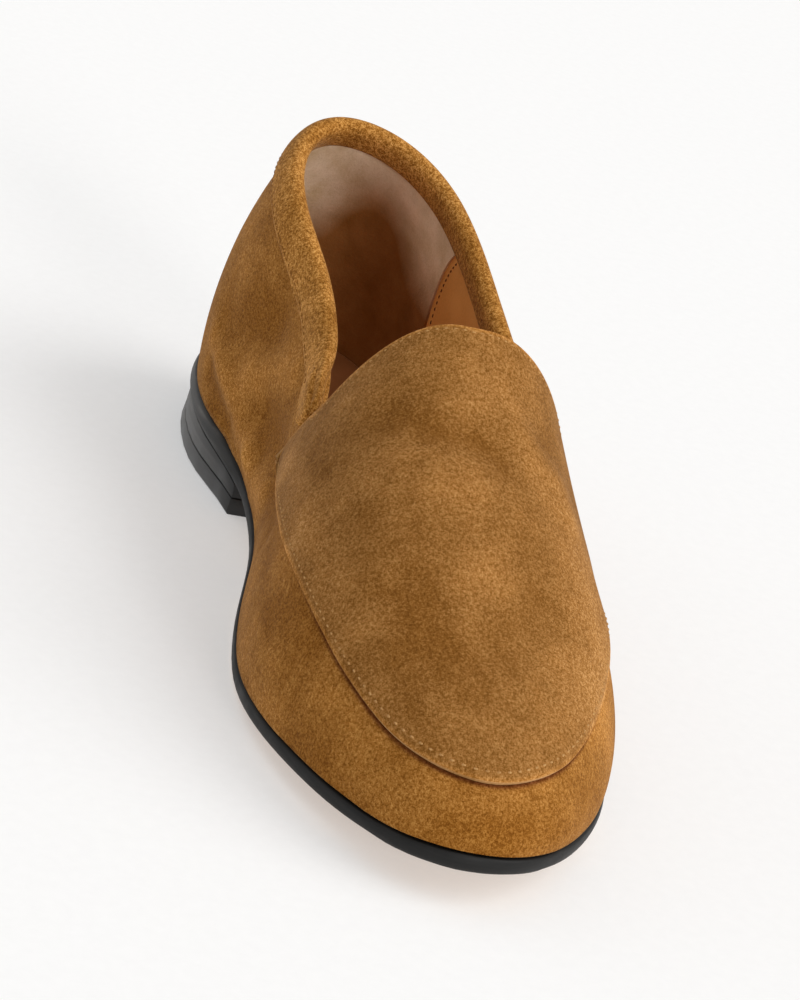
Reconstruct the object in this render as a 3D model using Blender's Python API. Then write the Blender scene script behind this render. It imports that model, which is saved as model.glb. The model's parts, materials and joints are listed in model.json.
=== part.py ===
"""A suede loafer with an apron front, a left shoe, as the pieces that a maker puts together.

Frame: +X runs to the toe, +Y to the wearer's left (the outer side of a left shoe) and +Z up. The floor
is z = 0, and the origin lies on it under the middle of the shoe. Sizes below are in millimetres.

The last is a family of sections. A station is a share of the length, 0 at the heel and 1 at the toe.
A rise is a share of the way up a section, 0 at the feather line on the sole and 1 on the ridge.
"""
from collections import namedtuple

import bmesh
import bpy
import numpy as np

MM = 0.001

# Driving sizes
LENGTH = 256.0
BALL_WIDTH = 76.7
INSTEP_HEIGHT = 81.0
HEEL_RISE = 14.2
TOE_SPRING = 7.8
COLLAR_BACK_HEIGHT = 80.4
NOTCH_HEIGHT = 46.5
GAP = 0.3
OVERLAY_GAP = 0.4

# Thicknesses
WALL = 2.0
SOLE_THICKNESS = 4.1
APRON_THICKNESS = 1.2
STRIP_THICKNESS = 0.9
INSOLE_THICKNESS = 2.4
TOP_LIFT_THICKNESS = 4.0

# Places along the last
INNER = -1
OUTER = 1
SPINE_HEEL = 48.0
SPINE_TOE = 226.0
NOTCH_STATION = 0.507
THROAT_TOP_STATION = 0.54
EAR_STATION = 0.44
EAR_RISE = 0.175
BREAST = 80.0
HEEL_LIFT = 3.0
HEEL_ROCKER = 44.0
HEEL_ROCKER_POWER = 1.6
INSOLE_INSET = WALL + 2 * GAP
INSOLE_BEVEL = 0.4
BINDING_CLEARANCE = 0.9
STRIP_TOP_WIDTH = 13.0
STRIP_FOOT_WIDTH = 28.0
THROAT_ROUNDING = 0.9
THROAT_FULLNESS = 0.8

# Steps for slopes and directions, and the share of a turn that is searched for the back strip's edge
STEP = 0.003
RIDGE_END = 0.08
HALVINGS = 40
HEEL_TURN = np.pi / 4
HEEL_SAMPLES = 200

# Half widths of the feather line, as shares of the ball width
Outline = namedtuple("Outline", "station inner outer")
OUTLINE = [
    Outline(0.00, 0.000, 0.000),
    Outline(0.04, 0.233, 0.243),
    Outline(0.10, 0.314, 0.328),
    Outline(0.20, 0.343, 0.375),
    Outline(0.32, 0.290, 0.400),
    Outline(0.45, 0.319, 0.435),
    Outline(0.56, 0.420, 0.488),
    Outline(0.66, 0.489, 0.511),
    Outline(0.75, 0.502, 0.498),
    Outline(0.85, 0.448, 0.393),
    Outline(0.93, 0.356, 0.239),
    Outline(0.98, 0.253, 0.087),
    Outline(1.00, 0.088, -0.088),
]

# Underside of the sole before it is trimmed to the floor: heel part as a share of the heel rise,
# toe part as a share of the toe spring
Underside = namedtuple("Underside", "station heel toe")
UNDERSIDE = [
    Underside(0.00, 1.000, 0.000),
    Underside(0.10, 0.830, 0.000),
    Underside(0.22, 0.682, 0.000),
    Underside(0.31, 0.560, 0.000),
    Underside(0.40, 0.402, 0.000),
    Underside(0.50, 0.170, 0.000),
    Underside(0.56, 0.014, 0.000),
    Underside(0.62, -0.020, 0.000),
    Underside(0.68, 0.000, -0.008),
    Underside(0.75, 0.000, 0.205),
    Underside(0.85, 0.000, 0.460),
    Underside(0.93, 0.000, 0.665),
    Underside(1.00, 0.000, 1.000),
]

# The ridge over the last: height as a share of the instep height, and its shift to the inner side
Ridge = namedtuple("Ridge", "station height aside")
RIDGE = [
    Ridge(0.000, 1.297, 0.0),
    Ridge(0.125, 1.362, -6.0),
    Ridge(0.250, 1.270, -9.5),
    Ridge(0.375, 1.150, -8.5),
    Ridge(0.500, 1.002, -2.0),
    Ridge(0.625, 0.836, 4.6),
    Ridge(0.750, 0.697, 7.7),
    Ridge(0.875, 0.549, 7.8),
    Ridge(1.000, 0.406, 6.8),
]

# Form of each section: how far it bulges past the feather line, how steeply it climbs, how full its top is
Section = namedtuple("Section", "station bulge climb fullness")
SECTIONS = [
    Section(0.00, 0.17, 0.435, 0.53),
    Section(0.20, 0.10, 0.435, 0.505),
    Section(0.40, 0.08, 0.41, 0.585),
    Section(0.60, 0.055, 0.413, 0.625),
    Section(0.82, 0.055, 0.40, 0.57),
    Section(1.00, 0.08, 0.35, 0.56),
]

# Fall of the top line from the back of the heel to the notch, as a share of the whole fall
Collar = namedtuple("Collar", "share fall")
COLLAR = [
    Collar(0.00, 0.00),
    Collar(0.33, 0.28),
    Collar(0.67, 0.66),
    Collar(1.00, 1.00),
]

# Lower edge of the apron
ApronEdge = namedtuple("ApronEdge", "station rise")
APRON_EDGE = [
    ApronEdge(EAR_STATION, EAR_RISE),
    ApronEdge(0.56, 0.285),
    ApronEdge(0.66, 0.353),
    ApronEdge(0.76, 0.389),
    ApronEdge(0.86, 0.402),
    ApronEdge(0.95, 0.443),
    ApronEdge(1.00, 0.526),
]

# Section of the folded collar binding, as a ring: out from the wall's outer face, up from the wall's rim
BindingPoint = namedtuple("BindingPoint", "out up")
BINDING = [
    BindingPoint(GAP, -7.5),
    BindingPoint(1.0, -7.7),
    BindingPoint(1.8, -5.4),
    BindingPoint(1.9, -2.6),
    BindingPoint(1.5, 0.2),
    BindingPoint(0.6, 1.7),
    BindingPoint(-1.0, 2.3),
    BindingPoint(-2.6, 1.7),
    BindingPoint(-3.5, 0.2),
    BindingPoint(-3.6, -3.0),
    BindingPoint(-3.2, -6.0),
    BindingPoint(-WALL - GAP, -6.0),
    BindingPoint(-WALL - GAP, -3.0),
    BindingPoint(-WALL - GAP, GAP),
    BindingPoint(GAP, GAP),
    BindingPoint(GAP, -2.5),
    BindingPoint(GAP, -5.0),
]
BINDING_FOOT = min(point.up for point in BINDING)

# Edge profiles from top to bottom: share of the depth, and distance outside the feather line
EdgeLevel = namedtuple("EdgeLevel", "depth margin")
SOLE_EDGE = [EdgeLevel(0.0, 0.1), EdgeLevel(0.3, 0.6), EdgeLevel(0.75, 0.5), EdgeLevel(1.0, -0.3)]
HEEL_EDGE = [EdgeLevel(0.0, 0.3), EdgeLevel(0.5, 0.0), EdgeLevel(1.0, 0.1)]
LIFT_EDGE = [EdgeLevel(0.0, 0.1), EdgeLevel(0.8, 0.4), EdgeLevel(1.0, 0.0)]
INSOLE_EDGE = [
    EdgeLevel(0.0, -INSOLE_INSET - INSOLE_BEVEL),
    EdgeLevel(0.4, -INSOLE_INSET),
    EdgeLevel(1.0, -INSOLE_INSET),
]

# Mesh density, and the distances that close seams, in metres
WELD = 0.00002
SLIVER = 0.00001
SHARP_ANGLE = np.radians(40)
REAR_COLUMNS = 20
FRONT_COLUMNS = 24
WALL_ROWS = 9
THROAT_ROWS = 9
EAR_ROWS = 3
SOLE_COLUMNS = 36
HEEL_COLUMNS = 16
STRIP_COLUMNS = 4
STRIP_ROWS = 9
ACROSS_ROWS = 4

# Colours, as linear red, green and blue, and roughness
SUEDE_TAN = (0.235, 0.098, 0.021)
APRON_TAN = (0.260, 0.110, 0.024)
EDGE_BLACK = (0.018, 0.018, 0.018)
LIFT_BLACK = (0.012, 0.012, 0.012)
INSOLE_TAN = (0.240, 0.110, 0.045)
SUEDE_ROUGHNESS = 0.95
WAX_ROUGHNESS = 0.45
RUBBER_ROUGHNESS = 0.6
LINING_ROUGHNESS = 0.6


# Curves of the last

def column(table, name):
    return np.array([getattr(row, name) for row in table])


def smooth(knots, values, at):
    """Cubic curve through a table's values, with slopes from the neighbouring rows."""
    gaps = np.diff(knots)
    steps = np.diff(values) / gaps
    slopes = np.empty(len(values))
    slopes[1:-1] = (steps[:-1] * gaps[1:] + steps[1:] * gaps[:-1]) / (gaps[:-1] + gaps[1:])
    slopes[0] = 1.5 * steps[0] - 0.5 * slopes[1]
    slopes[-1] = 1.5 * steps[-1] - 0.5 * slopes[-2]
    at = np.clip(np.asarray(at, float), knots[0], knots[-1])
    low = np.clip(np.searchsorted(knots, at, side="right") - 1, 0, len(gaps) - 1)
    share = (at - knots[low]) / gaps[low]
    rest = 1.0 - share
    start = values[low] * (1.0 + 2.0 * share) * rest ** 2 + slopes[low] * gaps[low] * share * rest ** 2
    end = values[low + 1] * share ** 2 * (1.0 + 2.0 * rest) - slopes[low + 1] * gaps[low] * share ** 2 * rest
    return start + end


def turn(station):
    """A station as an angle, so that a curve drawn through it ends round at heel and toe."""
    return np.arccos(1.0 - 2.0 * np.asarray(station, float))


def station_at(angle):
    return 0.5 - 0.5 * np.cos(angle)


def outline(angle, side):
    """Sideways place of the feather line."""
    half = column(OUTLINE, "inner" if side == INNER else "outer")
    return side * BALL_WIDTH * smooth(turn(column(OUTLINE, "station")), half, angle)


def underside(station):
    height = HEEL_RISE * column(UNDERSIDE, "heel") + TOE_SPRING * column(UNDERSIDE, "toe")
    return smooth(column(UNDERSIDE, "station"), height, station)


def feather(station):
    """Height of the feather line, where upper and sole meet."""
    return underside(station) + SOLE_THICKNESS


def ridge_height(station):
    return INSTEP_HEIGHT * smooth(column(RIDGE, "station"), column(RIDGE, "height"), station)


def ridge_slope(station):
    """Climb of the ridge along X."""
    before = np.clip(station - STEP, 0, 1)
    after = np.clip(station + STEP, 0, 1)
    return (ridge_height(after) - ridge_height(before)) / ((SPINE_TOE - SPINE_HEEL) * (after - before))


def last_point(angle, side, rise):
    """A point of the last: a cubic runs from the feather line over the section's bulge to the ridge.

    Sections lean forward to their foot, so near the ridge they also fall with the ridge's own slope.
    """
    angle, rise = np.broadcast_arrays(np.asarray(angle, float), np.asarray(rise, float))
    station = station_at(angle)
    ridge_x = SPINE_HEEL + (SPINE_TOE - SPINE_HEEL) * station
    ridge_y = INNER * smooth(column(RIDGE, "station"), column(RIDGE, "aside"), station)
    stations = column(SECTIONS, "station")
    bulge = smooth(stations, column(SECTIONS, "bulge"), station)
    climb = smooth(stations, column(SECTIONS, "climb"), station)
    fullness = smooth(stations, column(SECTIONS, "fullness"), station)
    rest = 1.0 - rise
    reach = rest ** 3 + 3 * rest ** 2 * rise * (1 + bulge) + 3 * rest * rise ** 2 * fullness
    height = 3 * rest ** 2 * rise * climb + 3 * rest * rise ** 2 + rise ** 3
    lean = (LENGTH * station - ridge_x) * reach
    x = ridge_x + lean
    y = ridge_y + (outline(angle, side) - ridge_y) * reach
    z = feather(station) + (ridge_height(station) - feather(station)) * height
    z += ridge_slope(station) * lean * rise ** 2
    return np.stack([x, y, z], axis=-1)


def last_normal(angle, side, rise):
    """Outward direction of the last's surface; at the ends of the ridge, that of the ridge just inside."""
    inside = np.clip(angle, RIDGE_END, np.pi - RIDGE_END)
    angle = np.where(np.asarray(rise) > 1.0 - STEP, inside, angle)
    along = last_point(angle + STEP, side, rise) - last_point(angle - STEP, side, rise)
    upward = (last_point(angle, side, np.clip(rise + STEP, 0, 1))
              - last_point(angle, side, np.clip(rise - STEP, 0, 1)))
    normal = -side * np.cross(along, upward)
    return normal / np.linalg.norm(normal, axis=-1, keepdims=True)


def skin(angle, side, rise, out):
    """A point at a distance outside the last."""
    return last_point(angle, side, rise) + np.asarray(out)[..., None] * last_normal(angle, side, rise)


def rise_at_height(angle, side, height):
    """The rise at which a section reaches a height, found by halving."""
    low = np.zeros(np.shape(angle))
    high = np.ones(np.shape(angle))
    for _ in range(HALVINGS):
        middle = (low + high) / 2
        below = last_point(angle, side, middle)[..., 2] < height
        low = np.where(below, middle, low)
        high = np.where(below, high, middle)
    return low


def collar_rise(angle, side):
    """Rise of the top line between the back of the heel and the notch."""
    fall = smooth(column(COLLAR, "share"), column(COLLAR, "fall"), station_at(angle) / NOTCH_STATION)
    height = COLLAR_BACK_HEIGHT + (NOTCH_HEIGHT - COLLAR_BACK_HEIGHT) * fall
    return rise_at_height(angle, side, height)


def rise_per_mm(angle, side, rise):
    upward = last_point(angle, side, rise + STEP) - last_point(angle, side, rise - STEP)
    return 2 * STEP / np.linalg.norm(upward, axis=-1)


# Edges of the throat and the apron

def notch_rise(side):
    return float(collar_rise(turn(NOTCH_STATION), side))


def throat_edge(side):
    """Stations and rises from the notch over the rounded throat to the ridge."""
    below_ridge = np.linspace(1, 0, THROAT_ROWS + 1)
    sweep = np.arccos(below_ridge ** (1 / THROAT_FULLNESS))
    stations = NOTCH_STATION + (THROAT_TOP_STATION - NOTCH_STATION) * np.sin(sweep) ** THROAT_ROUNDING
    rises = 1.0 - (1.0 - notch_rise(side)) * below_ridge
    return stations, rises


def apron_rear_edge(side):
    """Stations and rises from the ear up to the notch, then over the throat."""
    throat_stations, throat_rises = throat_edge(side)
    share = np.arange(EAR_ROWS) / EAR_ROWS
    stations = EAR_STATION + (NOTCH_STATION - EAR_STATION) * share
    rises = EAR_RISE + (notch_rise(side) - EAR_RISE) * share
    return np.concatenate([stations, throat_stations]), np.concatenate([rises, throat_rises])


def forward_columns(edge_stations):
    """Stations from an edge to the toe, closer together where the toe turns."""
    share = np.sin(np.linspace(0, np.pi / 2, FRONT_COLUMNS + 1))
    share[-1] = 1.0
    return edge_stations[:, None] + (1.0 - edge_stations[:, None]) * share


def rearward_columns(end, count):
    """Stations from the heel to an end, closer together where the heel turns."""
    return end * (1.0 - np.cos(np.linspace(0, np.pi / 2, count + 1)))


# Meshes

def add_grid(mesh, points):
    """Faces over a grid of points in millimetres."""
    rows = [[mesh.verts.new(point * MM) for point in row] for row in points]
    for lower, upper in zip(rows, rows[1:]):
        for index in range(len(lower) - 1):
            mesh.faces.new([lower[index], lower[index + 1], upper[index + 1], upper[index]])


def add_node(name, mesh, material):
    """Closes the mesh's seams, turns its faces outwards and makes it a named object."""
    bmesh.ops.remove_doubles(mesh, verts=mesh.verts, dist=WELD)
    bmesh.ops.dissolve_degenerate(mesh, edges=mesh.edges, dist=SLIVER)
    bmesh.ops.recalc_face_normals(mesh, faces=mesh.faces)
    data = bpy.data.meshes.new(name)
    mesh.to_mesh(data)
    mesh.free()
    data.shade_smooth()
    data.set_sharp_from_angle(angle=SHARP_ANGLE)
    data.materials.append(material)
    node = bpy.data.objects.new(name, data)
    bpy.context.collection.objects.link(node)
    return node


def thicken(node, thickness, offset):
    """Gives a sheet its thickness: offset -1 goes inwards and +1 outwards."""
    wall = node.modifiers.new("thickness", "SOLIDIFY")
    wall.thickness = thickness * MM
    wall.offset = offset
    wall.use_even_offset = True
    wall.use_quality_normals = True


def finish(name, colour, roughness):
    material = bpy.data.materials.new(name)
    material.use_nodes = True
    shader = material.node_tree.nodes["Principled BSDF"]
    shader.inputs["Base Color"].default_value = (*colour, 1.0)
    shader.inputs["Roughness"].default_value = roughness
    shader.inputs["Metallic"].default_value = 0.0
    return material


# Upper and its overlays

def make_upper(material):
    """One wall from the feather line up to the top line, closed over the foot in front of the throat."""
    mesh = bmesh.new()
    for side in (INNER, OUTER):
        stations = rearward_columns(NOTCH_STATION, REAR_COLUMNS)
        shares = np.linspace(0, 1, WALL_ROWS + 1)[:, None]
        angles = turn(stations)[None, :]
        add_grid(mesh, skin(angles, side, shares * collar_rise(turn(stations), side), 0.0))
        throat_stations, throat_rises = throat_edge(side)
        wall_rises = notch_rise(side) * shares[:-1, 0]
        edge_stations = np.concatenate([np.full(WALL_ROWS, NOTCH_STATION), throat_stations])
        rises = np.concatenate([wall_rises, throat_rises])[:, None]
        add_grid(mesh, skin(turn(forward_columns(edge_stations)), side, rises, 0.0))
    upper = add_node("upper", mesh, material)
    thicken(upper, WALL, -1)
    return upper


def make_apron(material):
    """The plug on the vamp: from its ears and the throat to a rounded front above the toe."""
    mesh = bmesh.new()
    for side in (INNER, OUTER):
        rear_stations, rear_rises = apron_rear_edge(side)
        lower_stations = forward_columns(np.array([EAR_STATION]))[0]
        lower_rises = smooth(column(APRON_EDGE, "station"), column(APRON_EDGE, "rise"), lower_stations)
        share_up = ((rear_rises - EAR_RISE) / (1.0 - EAR_RISE))[:, None]
        rises = lower_rises + (1.0 - lower_rises) * share_up
        add_grid(mesh, skin(turn(forward_columns(rear_stations)), side, rises, OVERLAY_GAP))
    apron = add_node("apron", mesh, material)
    thicken(apron, APRON_THICKNESS, 1)
    return apron


def binding_ring(side, share):
    """The binding's section at a share of the way from the back of the heel to the apron's rear edge."""
    notch = notch_rise(side)
    notch_scale = rise_per_mm(turn(NOTCH_STATION), side, notch)
    slope = (NOTCH_STATION - EAR_STATION) / (notch - EAR_RISE)
    clearance = BINDING_CLEARANCE / LENGTH
    ring = []
    for point in BINDING:
        end = NOTCH_STATION - clearance + slope * notch_scale * min(point.up, 0.0)
        angle = turn(end * share)
        rim = collar_rise(angle, side)
        rise = rim + point.up * rise_per_mm(angle, side, rim)
        ring.append(skin(angle, side, rise, point.out))
    return np.array(ring)


def make_collar_binding(material):
    """A folded band over the rim of the wall, from notch to notch round the heel."""
    mesh = bmesh.new()
    shares = rearward_columns(1.0, REAR_COLUMNS)
    rings = [binding_ring(INNER, share) for share in shares[::-1]]
    rings += [binding_ring(OUTER, share) for share in shares[1:]]
    loops = [[mesh.verts.new(point * MM) for point in ring] for ring in rings]
    for loop, following in zip(loops, loops[1:]):
        for index in range(len(loop)):
            mesh.faces.new([loop[index - 1], loop[index], following[index], following[index - 1]])
    mesh.faces.new(loops[0])
    mesh.faces.new(loops[-1])
    ends = [face for face in mesh.faces if len(face.verts) > 4]
    bmesh.ops.triangulate(mesh, faces=ends)
    return add_node("collar_binding", mesh, material)


def angle_at_width(side, rise, width):
    """The angle near the heel at which a section line lies a width from the middle."""
    angles = np.linspace(0, HEEL_TURN, HEEL_SAMPLES)
    return float(np.interp(width, side * last_point(angles, side, rise)[:, 1], angles))


def strip_top(angle, side):
    """Rise just under the binding."""
    rim = collar_rise(angle, side)
    return rim + (BINDING_FOOT - 2 * GAP) * rise_per_mm(angle, side, rim)


def make_back_strip(material):
    """The strip over the back seam, narrow under the binding and wide at the sole."""
    mesh = bmesh.new()
    back = turn(0.0)
    foot = GAP * rise_per_mm(back, OUTER, STEP)
    shares = np.linspace(0, 1, STRIP_ROWS + 1)
    middle_rises = foot + (strip_top(back, OUTER) - foot) * shares
    half_widths = (STRIP_FOOT_WIDTH + (STRIP_TOP_WIDTH - STRIP_FOOT_WIDTH) * shares) / 2
    for side in (INNER, OUTER):
        edges = np.array([angle_at_width(side, rise, half) for rise, half in zip(middle_rises, half_widths)])
        angles = edges[:, None] * np.linspace(0, 1, STRIP_COLUMNS + 1)
        rises = foot + (strip_top(angles, side) - foot) * shares[:, None]
        add_grid(mesh, skin(angles, side, rises, OVERLAY_GAP))
    strip = add_node("back_strip", mesh, material)
    thicken(strip, STRIP_THICKNESS, 1)
    return strip


# Sole, heel and insole

def plan_edge(stations, side, margin):
    """Plan of the feather line, moved outwards by a margin."""
    angle = turn(stations)
    along_x = LENGTH * (station_at(angle + STEP) - station_at(angle - STEP))
    along_y = outline(angle + STEP, side) - outline(angle - STEP, side)
    size = np.hypot(along_x, along_y)
    x = LENGTH * stations - side * margin * along_y / size
    y = outline(angle, side) + side * margin * along_x / size
    return x, y


def make_slab(name, stations, top, bottom, levels, material):
    """A slab between two heights, with its outline moved in and out down the edge."""
    mesh = bmesh.new()
    across = np.linspace(0, 1, ACROSS_ROWS + 1)[:, None]
    edges = {INNER: [], OUTER: []}
    for level in levels:
        height = top + (bottom - top) * level.depth
        for side in (INNER, OUTER):
            x, y = plan_edge(stations, side, level.margin)
            edges[side].append(np.stack([x, y, height], axis=-1))
    for level in (0, -1):
        inner = edges[INNER][level]
        outer = edges[OUTER][level]
        add_grid(mesh, inner + (outer - inner) * across[..., None])
    for side in (INNER, OUTER):
        add_grid(mesh, np.array(edges[side]))
    if stations[-1] < 1.0:
        inner_end = np.array([edge[-1] for edge in edges[INNER]])
        outer_end = np.array([edge[-1] for edge in edges[OUTER]])
        add_grid(mesh, inner_end + (outer_end - inner_end) * across[..., None])
    return add_node(name, mesh, material)


def make_outsole(material):
    stations = station_at(np.linspace(0, np.pi, SOLE_COLUMNS + 1))
    bottom = np.maximum(underside(stations), 0.0)
    return make_slab("outsole", stations, feather(stations) - GAP, bottom, SOLE_EDGE, material)


def make_insole(material):
    stations = station_at(np.linspace(0, np.pi, SOLE_COLUMNS + 1))
    bottom = feather(stations)
    return make_slab("insole", stations, bottom + INSOLE_THICKNESS, bottom, INSOLE_EDGE, material)


def heel_underside(stations):
    """Height of the heel's own bottom: flat behind the breast, then rounded up a little to the back."""
    behind = np.clip(1.0 - LENGTH * stations / HEEL_ROCKER, 0.0, 1.0)
    return HEEL_LIFT * behind ** HEEL_ROCKER_POWER


def make_heel_block(material):
    stations = rearward_columns(BREAST / LENGTH, HEEL_COLUMNS)
    bottom = heel_underside(stations) + TOP_LIFT_THICKNESS + GAP
    return make_slab("heel_block", stations, underside(stations) - GAP, bottom, HEEL_EDGE, material)


def make_heel_top_lift(material):
    stations = rearward_columns(BREAST / LENGTH, HEEL_COLUMNS)
    bottom = heel_underside(stations)
    top = bottom + TOP_LIFT_THICKNESS
    return make_slab("heel_top_lift", stations, top, bottom, LIFT_EDGE, material)


# Assembly

def clear_scene():
    for item in list(bpy.data.objects):
        bpy.data.objects.remove(item, do_unlink=True)


def stand_on_origin(nodes):
    """Hangs the pieces on one empty, so that the middle of their box lies over the origin."""
    bpy.context.view_layer.update()
    graph = bpy.context.evaluated_depsgraph_get()
    corners = np.array([corner for node in nodes for corner in node.evaluated_get(graph).bound_box])
    low = corners.min(axis=0)
    high = corners.max(axis=0)
    shoe = bpy.data.objects.new("loafer", None)
    bpy.context.collection.objects.link(shoe)
    shoe.location = (-(low[0] + high[0]) / 2, -(low[1] + high[1]) / 2, -low[2])
    for node in nodes:
        node.parent = shoe


def main():
    clear_scene()
    suede = finish("tan_suede", SUEDE_TAN, SUEDE_ROUGHNESS)
    apron_suede = finish("apron_suede", APRON_TAN, SUEDE_ROUGHNESS)
    black_edge = finish("black_sole_edge", EDGE_BLACK, WAX_ROUGHNESS)
    black_lift = finish("black_heel_rubber", LIFT_BLACK, RUBBER_ROUGHNESS)
    tan_insole = finish("tan_insole_leather", INSOLE_TAN, LINING_ROUGHNESS)
    nodes = [
        make_outsole(black_edge),
        make_heel_block(black_edge),
        make_heel_top_lift(black_lift),
        make_insole(tan_insole),
        make_upper(suede),
        make_apron(apron_suede),
        make_collar_binding(suede),
        make_back_strip(suede),
    ]
    stand_on_origin(nodes)


main()
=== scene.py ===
"""Looks of a left loafer in tan suede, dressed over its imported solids.

Frame: metres, +X to the toe, +Y to the outer side, +Z up, the floor at z = 0. The last below is the one that
the solids are cut from, in millimetres: a station is a share of the length, 0 at the heel and 1 at the toe,
and a rise is a share of the way up a section, 0 at the feather line and 1 on the ridge.
"""
import json
import math
from collections import namedtuple

import bpy
import numpy as np
from mathutils import Matrix, Vector
from mathutils.bvhtree import BVHTree
from mathutils.kdtree import KDTree

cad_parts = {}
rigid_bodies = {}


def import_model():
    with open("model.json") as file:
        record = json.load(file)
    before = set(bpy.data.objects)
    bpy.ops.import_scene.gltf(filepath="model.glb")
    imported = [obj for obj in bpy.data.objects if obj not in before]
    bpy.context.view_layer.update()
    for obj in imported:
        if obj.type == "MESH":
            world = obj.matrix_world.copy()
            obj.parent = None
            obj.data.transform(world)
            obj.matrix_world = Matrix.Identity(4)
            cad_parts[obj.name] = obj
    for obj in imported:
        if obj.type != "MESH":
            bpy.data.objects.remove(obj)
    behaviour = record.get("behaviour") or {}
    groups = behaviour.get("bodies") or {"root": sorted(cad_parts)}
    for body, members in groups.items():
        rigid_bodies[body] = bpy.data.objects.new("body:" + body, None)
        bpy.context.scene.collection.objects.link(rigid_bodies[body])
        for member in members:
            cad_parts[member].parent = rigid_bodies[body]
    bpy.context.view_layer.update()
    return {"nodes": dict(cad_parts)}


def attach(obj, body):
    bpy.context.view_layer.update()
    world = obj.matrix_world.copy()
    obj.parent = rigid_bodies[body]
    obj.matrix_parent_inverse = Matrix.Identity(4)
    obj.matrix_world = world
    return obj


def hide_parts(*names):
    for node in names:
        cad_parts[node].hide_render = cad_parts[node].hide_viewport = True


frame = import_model()

MM = 0.001
INNER = -1
OUTER = 1

# Sizes of the last, in millimetres
LAST_SHIFT = np.array([-126.979, -0.343, 0.0])
LENGTH = 256.0
BALL_WIDTH = 76.7
INSTEP_HEIGHT = 81.0
HEEL_RISE = 14.2
TOE_SPRING = 7.8
COLLAR_BACK_HEIGHT = 80.4
NOTCH_HEIGHT = 46.5
SOLE_THICKNESS = 4.1
WALL = 2.0
SPINE_HEEL = 48.0
SPINE_TOE = 226.0
NOTCH_STATION = 0.507
THROAT_TOP_STATION = 0.54
EAR_STATION = 0.44
EAR_RISE = 0.175
THROAT_ROUNDING = 0.9
THROAT_FULLNESS = 0.8
STEP = 0.003
RIDGE_END = 0.08
HALVINGS = 30

Outline = namedtuple("Outline", "station inner outer")
OUTLINE = [
    Outline(0.00, 0.000, 0.000),
    Outline(0.04, 0.233, 0.243),
    Outline(0.10, 0.314, 0.328),
    Outline(0.20, 0.343, 0.375),
    Outline(0.32, 0.290, 0.400),
    Outline(0.45, 0.319, 0.435),
    Outline(0.56, 0.420, 0.488),
    Outline(0.66, 0.489, 0.511),
    Outline(0.75, 0.502, 0.498),
    Outline(0.85, 0.448, 0.393),
    Outline(0.93, 0.356, 0.239),
    Outline(0.98, 0.253, 0.087),
    Outline(1.00, 0.088, -0.088),
]
Underside = namedtuple("Underside", "station heel toe")
UNDERSIDE = [
    Underside(0.00, 1.000, 0.000),
    Underside(0.10, 0.830, 0.000),
    Underside(0.22, 0.682, 0.000),
    Underside(0.31, 0.560, 0.000),
    Underside(0.40, 0.402, 0.000),
    Underside(0.50, 0.170, 0.000),
    Underside(0.56, 0.014, 0.000),
    Underside(0.62, -0.020, 0.000),
    Underside(0.68, 0.000, -0.008),
    Underside(0.75, 0.000, 0.205),
    Underside(0.85, 0.000, 0.460),
    Underside(0.93, 0.000, 0.665),
    Underside(1.00, 0.000, 1.000),
]
Ridge = namedtuple("Ridge", "station height aside")
RIDGE = [
    Ridge(0.000, 1.297, 0.0),
    Ridge(0.125, 1.362, -6.0),
    Ridge(0.250, 1.270, -9.5),
    Ridge(0.375, 1.150, -8.5),
    Ridge(0.500, 1.002, -2.0),
    Ridge(0.625, 0.836, 4.6),
    Ridge(0.750, 0.697, 7.7),
    Ridge(0.875, 0.549, 7.8),
    Ridge(1.000, 0.406, 6.8),
]
Section = namedtuple("Section", "station bulge climb fullness")
SECTIONS = [
    Section(0.00, 0.17, 0.435, 0.53),
    Section(0.20, 0.10, 0.435, 0.505),
    Section(0.40, 0.08, 0.41, 0.585),
    Section(0.60, 0.055, 0.413, 0.625),
    Section(0.82, 0.055, 0.40, 0.57),
    Section(1.00, 0.08, 0.35, 0.56),
]
Collar = namedtuple("Collar", "share fall")
COLLAR = [Collar(0.00, 0.00), Collar(0.33, 0.28), Collar(0.67, 0.66), Collar(1.00, 1.00)]
ApronEdge = namedtuple("ApronEdge", "station rise")
APRON_EDGE = [
    ApronEdge(EAR_STATION, EAR_RISE),
    ApronEdge(0.56, 0.285),
    ApronEdge(0.66, 0.353),
    ApronEdge(0.76, 0.389),
    ApronEdge(0.86, 0.402),
    ApronEdge(0.95, 0.443),
    ApronEdge(1.00, 0.526),
]

# Camera: it keeps the photograph's angle to the shoe, rolled, and is aimed at the middle of the shoe
CAMERA_PLACE = (0.7149, -0.2469, 0.3132)
CAMERA_TARGET = (0.007, -0.0016, 0.0324)
CAMERA_ROLL = math.radians(16.9)
CAMERA_LENS = 132.0
CAMERA_REACH = 100.0
SENSOR = 36.0

# Mesh work: lengths in metres, the rest angles, shares and counts
WELD = 0.00002
COLLAPSED = 0.000002
QUAD_ANGLE = math.radians(60)
RIM_ANGLE = math.radians(50)
RIM_SOFTNESS = 0.0003
SOLE_SOFTNESS = 0.00025
STRIP_SOFTNESS = 0.0002
HEEL_SOFTNESS = 0.00015
RIM_FACING = 0.5
RIM_REACH = 0.6
CHAMFER = 1
ROUND = 2
COARSE = 1
SMOOTH = 2
FINE = 3

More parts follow.
